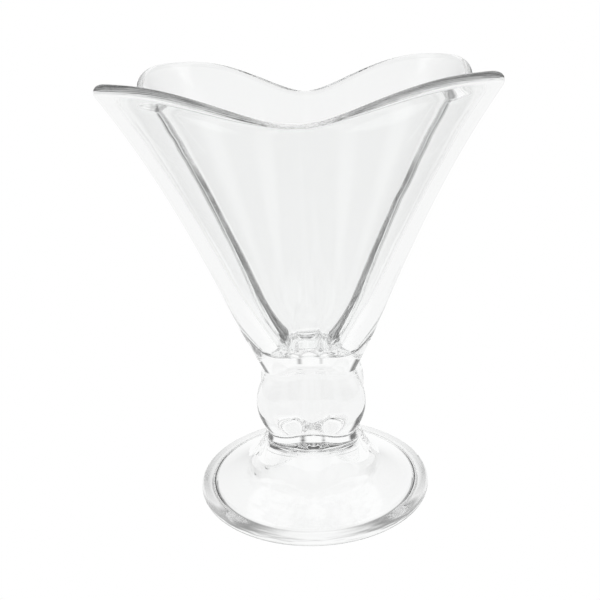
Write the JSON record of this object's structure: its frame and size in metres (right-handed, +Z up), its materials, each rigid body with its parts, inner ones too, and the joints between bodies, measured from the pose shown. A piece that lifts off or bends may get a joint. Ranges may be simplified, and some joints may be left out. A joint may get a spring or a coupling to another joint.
{
  "type": "parfait glass",
  "caption": "Clear pressed glass dessert cup: a lobed bowl with a wavy rim and a solid heel, on a ball shaped lobed knop and a round flared foot.",
  "frame": {"origin": "on the axis of the glass, at the level that the resting ring stands on", "axes": "+Z up along the axis of the glass; +X and +Y point at creases between the lobes, so the lobes lie on the diagonals"},
  "size_m": [0.0978, 0.0978, 0.126],
  "materials": {
    "bowl_glass": "fire polished clear pressed glass",
    "knop_glass": "clear pressed glass, solid",
    "foot_glass": "clear pressed glass, hollow underneath, with a ground resting ring"
  },
  "bodies": {
    "root": {"bowl": "bowl_glass", "knop": "knop_glass", "foot": "foot_glass"}
  },
  "joints": []
}
